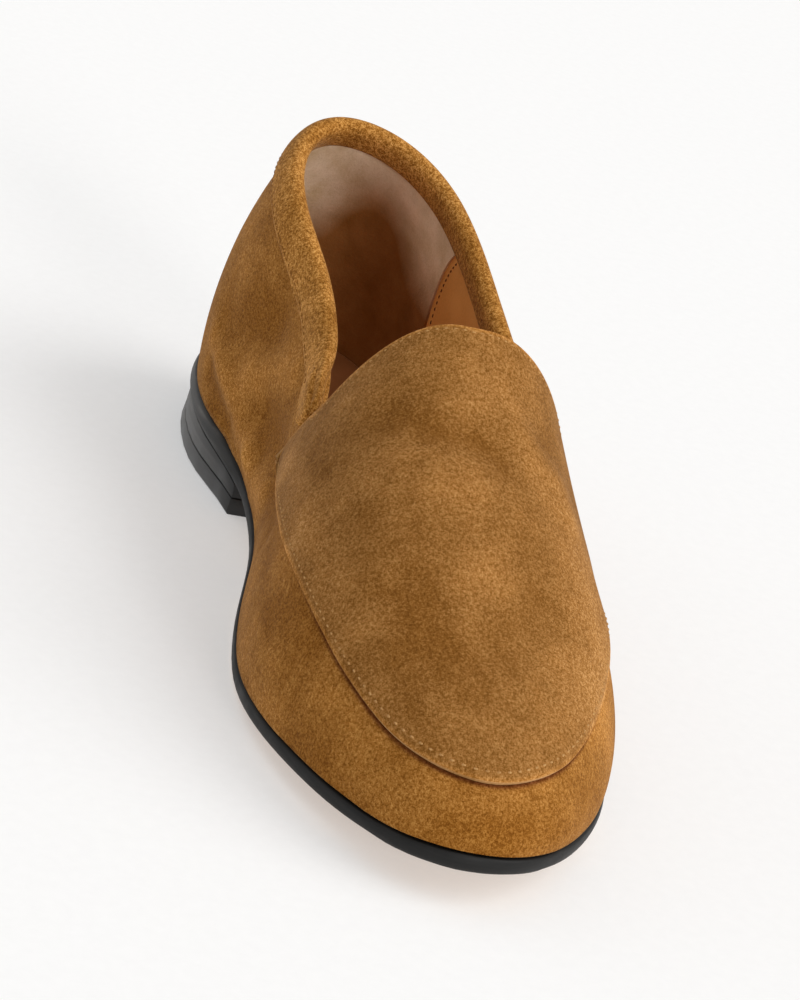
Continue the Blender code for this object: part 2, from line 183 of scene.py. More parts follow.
# Stitches: lengths in millimetres, the rest shares
THREAD_RADIUS = 0.22
FINE_THREAD_RADIUS = 0.16
APRON_STITCH_INSET = 1.9
APRON_STITCH_PITCH = 2.4
THROAT_STITCH_INSET = 1.0
THROAT_STITCH_PITCH = 2.0
BAND_STITCH_UP = -6.2
BAND_STITCH_PITCH = 2.2
POCKET_STITCH_PITCH = 1.9
STITCH_SHARE = 0.72
DOT_SHARE = 0.45
TANGENT_SHARE = 0.3
STITCH_SIDES = 6
STITCH_BEND = 0.45
STITCH_ENDS = 0.9
STITCH_PINCH = 0.55
STITCH_DIP = 0.9
STITCH_EAR_GAP = 0.012

# Seams and edges: lengths in millimetres, stations, shares and counts
APRON_OUT = 1.6
OVERLAY_GAP = 0.4
STRIP_OUT = 1.3
APRON_SKIVE = 0.65
STRIP_SKIVE = 0.7
SEAT_SHARE = 0.5
SKIVE_REACH = 1.4
SKIVE_BACK = 40.0
SKIVE_FRONT = 90.0
EAR_BLUNT = 3.0
EAR_REACH = 3.0
FLAT_STATIONS = 0.05
FLAT_SAMPLES = 12
FLAT_REACH = 11.0
FLAT_TOP = 0.7
FLAT_TURN = 0.6
WALL_FLAT = 1.4
BAND_FLAT = 3.0
BAND_FOOT = -7.7
BAND_OUT = 1.8
BAND_END_GAP = 0.03
BAND_CROWDING = 1.5
BAND_SAMPLES = 80
THROAT_SAMPLES = 40
STRIP_FOOT_WIDTH = 28.0
STRIP_TOP_WIDTH = 13.0
STRIP_SEAM = 0.6
STRIP_SAMPLES = 40
STRIP_SWEEP = math.pi / 4
SWEEP_SAMPLES = 200
SEAM_STEP = 0.3
SEAM_REACH = 4.0
EAR_SAMPLES = 12
EDGE_SAMPLES = 90


# The last

def column(table, name):
    return np.array([getattr(row, name) for row in table])


def smooth(knots, values, at):
    """Cubic curve through a table's values, with slopes from the neighbouring rows."""
    gaps = np.diff(knots)
    steps = np.diff(values) / gaps
    slopes = np.empty(len(values))
    slopes[1:-1] = (steps[:-1] * gaps[1:] + steps[1:] * gaps[:-1]) / (gaps[:-1] + gaps[1:])
    slopes[0] = 1.5 * steps[0] - 0.5 * slopes[1]
    slopes[-1] = 1.5 * steps[-1] - 0.5 * slopes[-2]
    at = np.clip(np.asarray(at, float), knots[0], knots[-1])
    low = np.clip(np.searchsorted(knots, at, side="right") - 1, 0, len(gaps) - 1)
    share = (at - knots[low]) / gaps[low]
    rest = 1.0 - share
    start = values[low] * (1.0 + 2.0 * share) * rest ** 2 + slopes[low] * gaps[low] * share * rest ** 2
    end = values[low + 1] * share ** 2 * (1.0 + 2.0 * rest) - slopes[low + 1] * gaps[low] * share ** 2 * rest
    return start + end


def curve(table, name, at):
    return smooth(column(table, "station"), column(table, name), at)


def turn(station):
    return np.arccos(1.0 - 2.0 * np.asarray(station, float))


def station_at(angle):
    return 0.5 - 0.5 * np.cos(angle)


def outline(angle, side):
    half = column(OUTLINE, "inner" if side == INNER else "outer")
    return side * BALL_WIDTH * smooth(turn(column(OUTLINE, "station")), half, angle)


def feather(station):
    height = HEEL_RISE * curve(UNDERSIDE, "heel", station) + TOE_SPRING * curve(UNDERSIDE, "toe", station)
    return height + SOLE_THICKNESS


def ridge_height(station):
    return INSTEP_HEIGHT * curve(RIDGE, "height", station)


def ridge_slope(station):
    before = np.clip(station - STEP, 0, 1)
    after = np.clip(station + STEP, 0, 1)
    return (ridge_height(after) - ridge_height(before)) / ((SPINE_TOE - SPINE_HEEL) * (after - before))


def last_point(angle, side, rise):
    """A point of the last, in millimetres in the shared frame."""
    angle, rise = np.broadcast_arrays(np.asarray(angle, float), np.asarray(rise, float))
    station = station_at(angle)
    ridge_x = SPINE_HEEL + (SPINE_TOE - SPINE_HEEL) * station
    ridge_y = INNER * curve(RIDGE, "aside", station)
    bulge = curve(SECTIONS, "bulge", station)
    climb = curve(SECTIONS, "climb", station)
    fullness = curve(SECTIONS, "fullness", station)
    rest = 1.0 - rise
    reach = rest ** 3 + 3 * rest ** 2 * rise * (1 + bulge) + 3 * rest * rise ** 2 * fullness
    height = 3 * rest ** 2 * rise * climb + 3 * rest * rise ** 2 + rise ** 3
    lean = (LENGTH * station - ridge_x) * reach
    x = ridge_x + lean
    y = ridge_y + (outline(angle, side) - ridge_y) * reach
    z = feather(station) + (ridge_height(station) - feather(station)) * height
    z = z + ridge_slope(station) * lean * rise ** 2
    return np.stack([x, y, z], axis=-1) + LAST_SHIFT


def last_normal(angle, side, rise):
    inside = np.clip(angle, RIDGE_END, np.pi - RIDGE_END)
    angle = np.where(np.asarray(rise) > 1.0 - STEP, inside, angle)
    along = last_point(angle + STEP, side, rise) - last_point(angle - STEP, side, rise)
    upward = (last_point(angle, side, np.clip(rise + STEP, 0, 1))
              - last_point(angle, side, np.clip(rise - STEP, 0, 1)))
    normal = -side * np.cross(along, upward)
    return normal / np.linalg.norm(normal, axis=-1, keepdims=True)


def skin(angle, side, rise, out):
    return last_point(angle, side, rise) + np.asarray(out)[..., None] * last_normal(angle, side, rise)


def collar_rise(angle, side):
    """Rise of the top line, found by halving."""
    fall = smooth(column(COLLAR, "share"), column(COLLAR, "fall"), station_at(angle) / NOTCH_STATION)
    goal = COLLAR_BACK_HEIGHT + (NOTCH_HEIGHT - COLLAR_BACK_HEIGHT) * fall
    low = np.zeros(np.shape(angle))
    high = np.ones(np.shape(angle))
    for _ in range(HALVINGS):
        middle = (low + high) / 2
        below = last_point(angle, side, middle)[..., 2] < goal
        low = np.where(below, middle, low)
        high = np.where(below, high, middle)
    return low


def rise_per_mm(angle, side, rise):
    upward = last_point(angle, side, rise + STEP) - last_point(angle, side, rise - STEP)
    return 2 * STEP / np.linalg.norm(upward, axis=-1)


# Lines on the last, in millimetres

def joined(halves):
    """The inner half of a line, and then the outer half backwards from where they meet."""
    return np.concatenate([halves[0], halves[1][::-1][1:]])


def apron_edge_path(out):
    """The apron's edge from the inner notch to the inner ear, round the toe and back to the outer notch."""
    halves = []
    for side in (INNER, OUTER):
        notch = float(collar_rise(turn(NOTCH_STATION), side))
        up = np.linspace(1, 0, EAR_SAMPLES)[:-1]
        lower_stations = station_at(np.linspace(turn(EAR_STATION), math.pi, EDGE_SAMPLES))
        lower_rises = smooth(column(APRON_EDGE, "station"), column(APRON_EDGE, "rise"), lower_stations)
        stations = np.concatenate([EAR_STATION + (NOTCH_STATION - EAR_STATION) * up, lower_stations])
        rises = np.concatenate([EAR_RISE + (notch - EAR_RISE) * up, lower_rises])
        halves.append(skin(turn(stations), side, rises, np.full(len(stations), out)))
    return joined(halves)


def apron_stitch_path():
    """Just inside the apron's lower edge, from the inner ear round the toe to the outer ear."""
    stations = station_at(np.linspace(turn(EAR_STATION + STITCH_EAR_GAP), math.pi, EDGE_SAMPLES))
    halves = []
    for side in (INNER, OUTER):
        rises = smooth(column(APRON_EDGE, "station"), column(APRON_EDGE, "rise"), stations)
        inset = APRON_STITCH_INSET * rise_per_mm(turn(stations), side, rises)
        halves.append(skin(turn(stations), side, rises + inset, np.full(len(stations), APRON_OUT)))
    return joined(halves)


def throat_path(inset_mm, out):
    """Just inside the throat's edge, from the inner notch over the ridge to the outer notch."""
    halves = []
    for side in (INNER, OUTER):
        notch = float(collar_rise(turn(NOTCH_STATION), side))
        below = np.linspace(1, 0, THROAT_SAMPLES)
        sweep = np.arccos(below ** (1 / THROAT_FULLNESS))
        stations = NOTCH_STATION + (THROAT_TOP_STATION - NOTCH_STATION) * np.sin(sweep) ** THROAT_ROUNDING
        rises = 1.0 - (1.0 - notch) * below
        stations = stations + inset_mm / (SPINE_TOE - SPINE_HEEL)
        halves.append(skin(turn(stations), side, rises, np.full(len(stations), out)))
    return joined(halves)


def band_path(up, out):
    """Along the collar band at a height from the wall's rim, from notch to notch round the heel."""
    halves = []
    for side in (INNER, OUTER):
        shares = np.linspace(1, 0, BAND_SAMPLES) ** BAND_CROWDING
        angles = turn((NOTCH_STATION - BAND_END_GAP) * shares)
        rims = collar_rise(angles, side)
        rises = rims + up * rise_per_mm(angles, side, rims)
        halves.append(skin(angles, side, rises, np.full(len(angles), out)))
    return joined(halves)


def strip_edge_path(side, beside, out):
    """A line beside the back strip's edge, from the sole up to the collar band."""
    shares = np.linspace(0, 1, STRIP_SAMPLES)
    back_rim = float(collar_rise(turn(0.0), OUTER))
    back_top = back_rim + BAND_FOOT * float(rise_per_mm(turn(0.0), OUTER, back_rim))
    halves = beside + (STRIP_FOOT_WIDTH + (STRIP_TOP_WIDTH - STRIP_FOOT_WIDTH) * shares) / 2
    sweep = np.linspace(0, STRIP_SWEEP, SWEEP_SAMPLES)
    angles = np.array([np.interp(half, side * last_point(sweep, side, rise)[:, 1], sweep)
                       for rise, half in zip(back_top * shares, halves)])
    rims = collar_rise(angles, side)
    tops = rims + BAND_FOOT * rise_per_mm(angles, side, rims)
    return skin(angles, side, tops * shares, np.full(len(shares), out))


def lengths_along(path):
    """How far each point of a path is from its start."""
    return np.concatenate([[0], np.cumsum(np.linalg.norm(np.diff(path, axis=0), axis=1))])


def places_at(path, along, distances):
    """Points of a path at the distances from its start."""
    return np.stack([np.interp(distances, along, path[:, axis]) for axis in range(3)], axis=-1)


def fine_path(path, step):
    """Points along a path at even small steps."""
    along = lengths_along(path)
    return places_at(path, along, np.arange(0, along[-1], step))


# Work on meshes

def only(piece):
    bpy.ops.object.select_all(action="DESELECT")
    piece.select_set(True)
    bpy.context.view_layer.objects.active = piece


def edit(piece):
    only(piece)
    bpy.ops.object.mode_set(mode="EDIT")
    bpy.ops.mesh.select_all(action="SELECT")


def leave_edit():
    bpy.ops.object.mode_set(mode="OBJECT")


def copy_of(node_name, piece_name):
    """A copy of a solid's mesh, closed and turned back into quads, to be dressed."""
    only(frame["nodes"][node_name])
    bpy.ops.object.duplicate()
    piece = bpy.context.active_object
    bpy.ops.object.parent_clear(type="CLEAR_KEEP_TRANSFORM")
    for key in list(piece.keys()):
        del piece[key]
    piece.name = piece_name
    piece.data.name = piece_name
    piece.data.materials.clear()
    edit(piece)
    bpy.ops.mesh.customdata_custom_splitnormals_clear()
    bpy.ops.mesh.remove_doubles(threshold=WELD)
    bpy.ops.mesh.tris_convert_to_quads(face_threshold=QUAD_ANGLE, shape_threshold=QUAD_ANGLE)
    leave_edit()
    bpy.ops.object.shade_smooth()
    return piece


def pick_rims(piece):
    edit(piece)
    bpy.ops.mesh.select_mode(type="EDGE")
    bpy.ops.mesh.select_all(action="DESELECT")
    bpy.ops.mesh.edges_select_sharp(sharpness=RIM_ANGLE)


def hold_rims(piece):
    """Keeps cut edges where they are when the piece is subdivided."""
    pick_rims(piece)
    bpy.ops.transform.edge_crease(value=1.0)
    leave_edit()


def soften_rims(piece, width, segments):
    """Rounds the cut edges a little, and removes faces that collapse where they meet."""
    pick_rims(piece)
    bpy.ops.mesh.bevel(offset=width, offset_type="OFFSET", segments=segments, affect="EDGES",
                       clamp_overlap=True)
    bpy.ops.mesh.select_all(action="SELECT")
    bpy.ops.mesh.dissolve_degenerate(threshold=COLLAPSED)
    leave_edit()
    only(piece)
    bpy.ops.object.shade_smooth()


def shade_by_angle(piece):
    only(piece)
    bpy.ops.object.shade_smooth_by_angle(angle=RIM_ANGLE)


def subdivide(piece, level):
    only(piece)
    bpy.ops.object.modifier_add(type="SUBSURF")
    surface = piece.modifiers[-1]
    surface.levels = level
    surface.render_levels = level
    bpy.ops.object.modifier_apply(modifier=surface.name)
    bpy.ops.object.shade_smooth()


def thicken(piece, thickness):
    """Gives a sheet a thickness on the side that its faces look to."""
    only(piece)
    bpy.ops.object.modifier_add(type="SOLIDIFY")
    wall = piece.modifiers[-1]
    wall.thickness = thickness * MM
    wall.offset = 1.0
    wall.use_even_offset = True
    bpy.ops.object.modifier_apply(modifier=wall.name)


def triples(items, name):
    """Three numbers of every point or face of a mesh."""
    flat = np.empty(len(items) * 3)
    items.foreach_get(name, flat)
    return flat.reshape(-1, 3)


def points_of(piece):
    """A mesh's points, in millimetres."""
    return triples(piece.data.vertices, "co") / MM


def set_points(piece, points):
    piece.data.vertices.foreach_set("co", (points * MM).ravel())
    piece.data.update()


def normals_of(piece):
    return triples(piece.data.vertices, "normal")


def face_centres(piece):
    """The middles of a mesh's faces, in millimetres."""
    return triples(piece.data.polygons, "center") / MM


def face_normals(piece):
    return triples(piece.data.polygons, "normal")


def paint_faces(piece, chosen, slot):
    """Gives the chosen faces another of the piece's materials."""
    index = np.empty(len(piece.data.polygons), dtype=np.int32)
    piece.data.polygons.foreach_get("material_index", index)
    index[chosen] = slot
    piece.data.polygons.foreach_set("material_index", index)


def surface_of(piece):
    """A piece's surface in millimetres, to find the nearest place on it."""
    points = points_of(piece)
    return BVHTree.FromPolygons([Vector(point) for point in points],
                                [tuple(face.vertices) for face in piece.data.polygons])


# The line through the shoe's inside, which tells its inner faces from its outer ones
INSIDE_BACK = -92.0
INSIDE_FRONT = 98.0
INSIDE_HEIGHTS = ((-92.0, 40.0), (0.0, 30.0), (50.0, 24.0), (98.0, 19.0))


def outward(points):
    """Directions from the middle of the shoe's inside."""
    x = np.clip(points[:, 0], INSIDE_BACK, INSIDE_FRONT)
    z = np.interp(x, [row[0] for row in INSIDE_HEIGHTS], [row[1] for row in INSIDE_HEIGHTS])
    middle = np.stack([x, np.zeros(len(x)), z], axis=-1)
    away = points - middle
    return away / np.linalg.norm(away, axis=-1, keepdims=True)


def facing_out(piece):
    """How far each face looks away from the shoe's inside."""
    return (face_normals(piece) * outward(face_centres(piece))).sum(axis=1)


# Creases: soft troughs (depth below 0, in millimetres) and ridges along lines of places x, y, z in
# millimetres. Their tone is painted shading laid over the nap's own lie: painted shade in a trough, painted
# light on a ridge, and a patch with a tone alone painted paler where lamps light the shoe more, darker where
# less.
Crease = namedtuple("Crease", "name width depth tone line")
CREASES = [
    Crease("ball flex", 8.0, -0.8, -0.26, [
        (79, -19, 43), (91, -14, 38), (92, -7, 38), (88, 3, 40), (81, 10, 41)]),
    Crease("ball swell", 9.0, 0.6, 0.12, [(72, -23, 44), (74, -14, 47), (72, -3, 49)]),
    Crease("instep swell", 9.0, 0.5, 0.16, [(53, -19, 56), (57, -9, 57), (58, 0, 55)]),
    Crease("instep dent", 6.5, -1.1, -0.26, [(34, -19, 63), (42, -13, 63), (44, -4, 64), (44, 2, 62)]),
    Crease("instep fold", 5.5, 1.0, 0.24, [(37, 9, 63), (40, 13, 60), (41, 19, 55), (46, 21, 52)]),
    # Painted highlight: the sheen where the key lamp lights the apron's outer side.
    Crease("outer sheen", 11.0, 0.2, 0.65, [(59, 25, 43), (71, 25, 37), (83, 24, 31)]),
    Crease("inner nap", 5.0, 0.2, 0.30, [(8, -30, 38), (33, -32, 40), (58, -33, 38), (83, -29, 34)]),
    Crease("inner shade", 7.0, -0.2, -0.12, [(30, -29, 48), (51, -30, 45), (67, -29, 41)]),
    Crease("ear shade", 5.0, -0.2, -0.24, [(-36, -23, 23), (-19, -24, 20), (8, -28, 25), (30, -34, 28)]),
    Crease("ear nap", 5.0, 0.1, 0.30, [(2, -28, 33), (12, -30, 36)]),
    Crease("band shade", 6.0, -0.1, -0.18, [(-36, -19, 58), (-49, -20, 61)]),
    Crease("plug nap", 8.0, 0.2, 0.12, [(107, -17, 30), (112, -4, 28), (100, 11, 30)]),
    Crease("quarter hollow", 7.5, -1.6, -0.40, [
        (-81, -27, 35), (-72, -26, 38), (-65, -25, 41), (-55, -22, 45)]),
    Crease("quarter fold", 5.0, 1.1, 0.34, [(-56, -24, 31), (-50, -23, 35), (-41, -21, 39), (-32, -21, 43)]),
    Crease("heel fold", 4.0, 1.3, 0.42, [
        (-85, -27, 30), (-78, -27, 28), (-68, -26, 25), (-54, -24, 21), (-40, -23, 18)]),
    Crease("heel hollow", 4.5, -1.0, -0.38, [(-79, -27, 22), (-70, -26, 19), (-61, -25, 17)]),
    Crease("heel nap", 8.0, 0.2, 0.12, [(-98, -25, 50), (-92, -28, 36), (-88, -28, 24)]),
    Crease("waist fold", 4.0, 1.2, 0.50, [(-40, -23, 18), (-32, -24, 15), (-18, -24, 18)]),
    Crease("waist hollow", 5.0, -1.3, -0.42, [
        (-42, -23, 28), (-31, -23, 29), (-20, -23, 28), (0, -27, 24), (14, -31, 24)]),
    Crease("flank shade", 6.0, -0.3, -0.34, [(32, -35, 21), (59, -37, 24), (77, -35, 24)]),
    # Painted shade on the toe's inner flank, which the lamps leave darker.
    Crease("low flank shade", 5.0, 0.3, -0.10, [(55, -39, 14), (76, -37, 13), (97, -33, 14)]),
    Crease("feather shade", 4.0, -0.2, -0.22, [(84, -36, 10), (96, -33, 10), (108, -29, 10)]),
    Crease("toe shade", 6.0, -0.3, -0.18, [(126, -17, 15), (128, -8, 16), (124, 3, 18)]),
    Crease("toe hollow", 15.0, -0.1, -0.12, [(112, -22, 19), (123, -6, 21), (115, 9, 22)]),
    Crease("toe nap", 5.0, 0.2, 0.14, [(106, -28, 19), (122, -20, 19), (123, -11, 21), (111, 13, 21)]),
    Crease("outer hollow", 8.0, -1.0, -0.22, [(-58, 30, 36), (-47, 31, 33), (-42, 31, 24)]),
    Crease("outer fold", 5.5, 0.9, 0.20, [(-34, 31, 34), (-29, 32, 25), (-24, 33, 17)]),
    Crease("outer waist", 6.0, -0.8, -0.18, [(-12, 33, 32), (-6, 34, 24), (2, 35, 18)]),
    Crease("outer flex", 6.0, -0.7, -0.16, [(30, 38, 16), (38, 37, 24), (48, 34, 33)]),
    Crease("outer heel nap", 8.0, 0.2, 0.12, [(-98, 24, 48), (-90, 28, 34)]),
]
CREASE_SAMPLES = 12
LEVEL_NAP = 0.5


def crease_line(crease):
    """Points along a crease, in millimetres."""
    ends = np.array(crease.line, float)
    places = np.linspace(0, len(ends) - 1, CREASE_SAMPLES * (len(ends) - 1) + 1)
    return places_at(ends, np.arange(len(ends)), places)


CREASE_LINES = [(crease, crease_line(crease)) for crease in CREASES]


def crease_field(points, name):
    """Sum of the creases' depths, or of their tones, at each point."""
    total = np.zeros(len(points))
    for crease, line in CREASE_LINES:
        nearest = np.full(len(points), np.inf)
        for place in line:
            nearest = np.minimum(nearest, ((points - place) ** 2).sum(axis=1))
        total += getattr(crease, name) * np.exp(-nearest / crease.width ** 2)
    return total


def note(piece, name, values):
    """Keeps a number on each point of a piece, for its material."""
    kept = piece.data.attributes.new(name, "FLOAT", "POINT")
    kept.data.foreach_set("value", np.asarray(values, dtype=np.float32))


def seam_gap(points, seams):
    """Distance to the nearest seam as a share of the reach, 1 at most."""
    places = np.concatenate([fine_path(seam, SEAM_STEP) for seam in seams])
    tree = KDTree(len(places))
    for index, place in enumerate(places):
        tree.insert(Vector(place), index)
    tree.balance()
    gaps = np.array([tree.find(Vector(point))[2] for point in points])
    return np.minimum(gaps / SEAM_REACH, 1.0)


def press_creases(piece, seams=()):
    """Moves the piece's points with the creases, and notes the nap's painted shading there and how near a
    seam is.
    """
    points = points_of(piece)
    away = outward(points)
    normals = normals_of(piece)
    facing = np.sign((normals * away).sum(axis=1, keepdims=True))
    gaps = seam_gap(points, seams) if seams else np.ones(len(points))
    moved = crease_field(points, "depth")
    set_points(piece, points + moved[:, None] * normals * facing)
    # The creases' tone is painted shading: darker in troughs, paler on ridges and lit patches.
    note(piece, "nap_and_painted_shading", LEVEL_NAP + crease_field(points, "tone"))
    note(piece, "seam_gap", gaps)


# Materials: noise scales per metre, bump distances in metres, the rest shares
Noise = namedtuple("Noise", "scale detail roughness")
Bump = namedtuple("Bump", "strength distance")
WHITE = (1.0, 1.0, 1.0)
MIDDLE = 0.5

NAP_ROUGHNESS = 0.95
NAP_GLOSS = 0.05
NAP_SHEEN = 0.14
NAP_SHEEN_ROUGHNESS = 0.3
NAP_SHEEN_TINT = (1.0, 0.80, 0.58, 1.0)
NAP_PATCHES = Noise(38.0, 3.0, 0.55)
NAP_CLOUDS = Noise(150.0, 3.0, 0.6)
NAP_TUFTS = Noise(1500.0, 3.0, 0.7)
NAP_FIBRES = Noise(4200.0, 2.0, 0.8)
NAP_REACH = 0.14
SPECKLE_WEIGHT = 0.5
PATCH_WEIGHT = 0.6
CLOUD_WEIGHT = 0.3
LIE_AND_SHADING_WEIGHT = 0.45
# Tints for the tone, which holds random nap patches and painted shading: deeper and more saturated in painted
# shade, paler and whiter in painted highlights.
NAP_SHADES = [
    (0.525, (0.60, 0.55, 0.42)),
    (0.675, (0.80, 0.80, 0.80)),
    (0.825, (1.00, 1.02, 1.10)),
    (0.975, (1.20, 1.28, 1.50)),
]
# Painted along seams within these shares of the reach: shade beside an overlay's edge, a highlight on its own
# edge.
SEAM_NEAR = 0.09
SEAM_FAR = 0.29
# Painted shade inside the shoe: where it starts and where it is full.
SHADE_FROM = 0.1
SHADE_TO = 0.6
FIBRE_BUMP = Bump(0.4, 0.00016)
TUFT_BUMP = Bump(0.5, 0.0003)
CLOUD_BUMP = Bump(0.25, 0.0012)

LEATHER_GLOSS = 0.35
LEATHER_CLOUDS = Noise(70.0, 3.0, 0.5)
LEATHER_PORES = Noise(1700.0, 2.0, 0.5)
LEATHER_CLOUD_WEIGHT = 0.7
LEATHER_PORE_WEIGHT = 0.3
LEATHER_REACH = 0.14
PORE_BUMP = Bump(0.3, 0.0002)

THREAD_ROUGHNESS = 0.85
THREAD_GLOSS = 0.1
THREAD_TWIST = Noise(2600.0, 2.0, 0.6)
THREAD_LOW = 0.35
THREAD_HIGH = 0.65
TWIST_BUMP = Bump(0.3, 0.0001)

WAX_ROUGHNESS = 0.3
WAX_CLOUDS = Noise(120.0, 3.0, 0.6)
WAX_CLOUD_WEIGHT = 0.6
WAX_LAYER_WEIGHT = 0.4
LAYER_DETAIL = 1.0
LAYER_ROUGHNESS = 0.5
LAYER_STRETCH = (0.03, 0.03, 1.0)
BLACKS = [
    (0.35, (0.008, 0.008, 0.008)),
    (0.55, (0.014, 0.0135, 0.013)),
    (0.70, (0.026, 0.025, 0.024)),
]
SMOOTHER = 0.08
ROUGHER = 0.14
WAX_LOW = 0.3
WAX_HIGH = 0.7
WAX_BUMP = Bump(0.15, 0.0003)
LAYER_BUMP = Bump(0.35, 0.0003)


def new_material(name, roughness):
    material = bpy.data.materials.new(name)
    material.use_nodes = True
    shader = material.node_tree.nodes["Principled BSDF"]
    shader.inputs["Roughness"].default_value = roughness
    return material, shader


class Weave:
    """Nodes of one material, on the piece's own coordinates."""

    def __init__(self, material):
        self.tree = material.node_tree
        self.coordinates = self.tree.nodes.new("ShaderNodeTexCoord").outputs["Object"]

    def link(self, source, target):
        self.tree.links.new(source, target)

    def stretched(self, scale):
        mapping = self.tree.nodes.new("ShaderNodeMapping")
        mapping.inputs["Scale"].default_value = scale
        self.link(self.coordinates, mapping.inputs["Vector"])
        return mapping.outputs["Vector"]

    def noise(self, kind, grain=1.0, vector=None):
        node = self.tree.nodes.new("ShaderNodeTexNoise")
        node.inputs["Scale"].default_value = kind.scale / grain
        node.inputs["Detail"].default_value = kind.detail
        node.inputs["Roughness"].default_value = kind.roughness
        self.link(vector or self.coordinates, node.inputs["Vector"])
        return node.outputs["Fac"]

    def math(self, operation, first, second):
        node = self.tree.nodes.new("ShaderNodeMath")
        node.operation = operation
        for value, socket in zip((first, second), node.inputs):
            if isinstance(value, float):
                socket.default_value = value
            else:
                self.link(value, socket)
        return node.outputs["Value"]

    def blend(self, parts):
        """Weighted sum of values."""
        total = None
        for value, weight in parts:
            term = self.math("MULTIPLY", value, weight)
            total = term if total is None else self.math("ADD", total, term)
        return total

    def ramp(self, value, stops):
        node = self.tree.nodes.new("ShaderNodeValToRGB")
        elements = node.color_ramp.elements
        while len(elements) < len(stops):
            elements.new(1.0)
        for element, (place, colour) in zip(elements, stops):
            element.position = place
            element.color = (*colour, 1.0)
        self.link(value, node.inputs["Fac"])
        return node.outputs["Color"]

    def grey_ramp(self, value, stops):
        return self.ramp(value, [(place, (level, level, level)) for place, level in stops])

    def multiply(self, first, second):
        node = self.tree.nodes.new("ShaderNodeMix")
        node.data_type = "RGBA"
        node.blend_type = "MULTIPLY"
        node.inputs["Factor"].default_value = 1.0
        colours = [socket for socket in node.inputs if socket.type == "RGBA"]
        self.link(first, colours[0])
        self.link(second, colours[1])
        return next(socket for socket in node.outputs if socket.type == "RGBA")

    def attribute(self, name):
        node = self.tree.nodes.new("ShaderNodeAttribute")
        node.attribute_name = name
        return node.outputs["Fac"]

    def bump(self, height, kind, grain=1.0, under=None):
        node = self.tree.nodes.new("ShaderNodeBump")
        node.inputs["Strength"].default_value = kind.strength
        node.inputs["Distance"].default_value = kind.distance * grain
        self.link(height, node.inputs["Height"])
        if under is not None:
            self.link(under, node.inputs["Normal"])
        return node.outputs["Normal"]


def suede(name, deep, body, light, contrast, grain, seam, painted_shade=None):
    """Brushed nap: patches lying different ways, tufts and single fibres.

    Contrast is how far the tufts differ, grain how coarse they are, seam the tint along a seam, painted shade
    beside an overlay's edge and a painted highlight on its own edge, and the last tint painted shade deep
    inside.
    """
    material, shader = new_material(name, NAP_ROUGHNESS)
    shader.inputs["Specular IOR Level"].default_value = NAP_GLOSS
    shader.inputs["Sheen Weight"].default_value = NAP_SHEEN
    shader.inputs["Sheen Roughness"].default_value = NAP_SHEEN_ROUGHNESS
    shader.inputs["Sheen Tint"].default_value = NAP_SHEEN_TINT
    weave = Weave(material)
    patches = weave.noise(NAP_PATCHES)
    clouds = weave.noise(NAP_CLOUDS)
    tufts = weave.noise(NAP_TUFTS, grain)
    fibres = weave.noise(NAP_FIBRES, grain)
    speckle = weave.blend([(tufts, SPECKLE_WEIGHT), (fibres, SPECKLE_WEIGHT)])
    reach = NAP_REACH / contrast
    nap = weave.ramp(speckle, [(MIDDLE - reach, deep), (MIDDLE, body), (MIDDLE + reach, light)])
    # The noted tone is painted shading from the creases, over the nap's lie.
    lie_and_shading = weave.attribute("nap_and_painted_shading")
    tone = weave.blend([(patches, PATCH_WEIGHT), (clouds, CLOUD_WEIGHT), (lie_and_shading, LIE_AND_SHADING_WEIGHT)])
    shade = weave.ramp(tone, NAP_SHADES)
    # Painted shade beside an overlay's edge, painted highlight on the overlay's own edge.
    edge = weave.ramp(weave.attribute("seam_gap"), [(SEAM_NEAR, seam), (SEAM_FAR, WHITE)])
    colour = weave.multiply(weave.multiply(nap, shade), edge)
    # Painted shade, deepest where the pocket lies deepest in the shoe.
    if painted_shade is not None:
        inside_shade = weave.ramp(weave.attribute("inside_shade"), [(SHADE_FROM, WHITE), (SHADE_TO, painted_shade)])
        colour = weave.multiply(colour, inside_shade)
    weave.link(colour, shader.inputs["Base Color"])
    fine = weave.bump(fibres, FIBRE_BUMP, grain)
    coarse = weave.bump(tufts, TUFT_BUMP, grain, fine)
    weave.link(weave.bump(clouds, CLOUD_BUMP, under=coarse), shader.inputs["Normal"])
    return material


def smooth_leather(name, deep, body, light, roughness):
    """Lining leather with a fine pore grain and faint clouding."""
    material, shader = new_material(name, roughness)
    shader.inputs["Specular IOR Level"].default_value = LEATHER_GLOSS
    weave = Weave(material)
    clouds = weave.noise(LEATHER_CLOUDS)
    pores = weave.noise(LEATHER_PORES)
    mixed = weave.blend([(clouds, LEATHER_CLOUD_WEIGHT), (pores, LEATHER_PORE_WEIGHT)])
    stops = [(MIDDLE - LEATHER_REACH, deep), (MIDDLE, body), (MIDDLE + LEATHER_REACH, light)]
    colour = weave.ramp(mixed, stops)
    weave.link(colour, shader.inputs["Base Color"])
    weave.link(weave.bump(pores, PORE_BUMP), shader.inputs["Normal"])
    return material


def thread(name, deep, light):
    """Twisted sewing thread."""
    material, shader = new_material(name, THREAD_ROUGHNESS)
    shader.inputs["Specular IOR Level"].default_value = THREAD_GLOSS
    weave = Weave(material)
    twist = weave.noise(THREAD_TWIST)
    weave.link(weave.ramp(twist, [(THREAD_LOW, deep), (THREAD_HIGH, light)]), shader.inputs["Base Color"])
    weave.link(weave.bump(twist, TWIST_BUMP), shader.inputs["Normal"])
    return material


